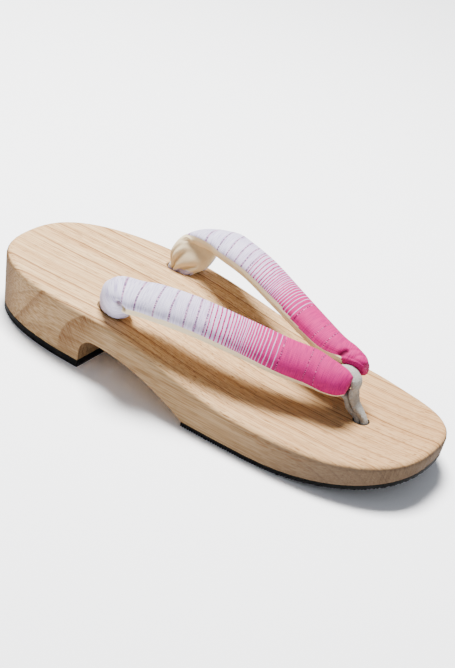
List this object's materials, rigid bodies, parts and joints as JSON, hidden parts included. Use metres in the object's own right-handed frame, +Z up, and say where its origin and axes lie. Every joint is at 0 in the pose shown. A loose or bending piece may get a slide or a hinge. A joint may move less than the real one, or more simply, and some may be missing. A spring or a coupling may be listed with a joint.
{
  "type": "geta sandal",
  "caption": "Flat wooden sandal with a heel block and a front block on rubber pads, and a padded V-shaped strap tied down by a front cord.",
  "frame": {"origin": "on the floor, under the middle of the sandal's length and width", "axes": "+X towards the toe, +Y towards the wearer's left, +Z up from the floor"},
  "size_m": [0.233, 0.0968, 0.056],
  "materials": {
    "base": "satin, bare paulownia",
    "pads": "matte black",
    "straps": "woven cloth, white at the heel running to pink at the toe, cream lining",
    "front_cord": "off-white velvet"
  },
  "bodies": {
    "root": {"base": "base", "heel_pad": "pads", "front_pad": "pads", "straps": "straps", "front_cord": "front_cord"}
  },
  "joints": []
}
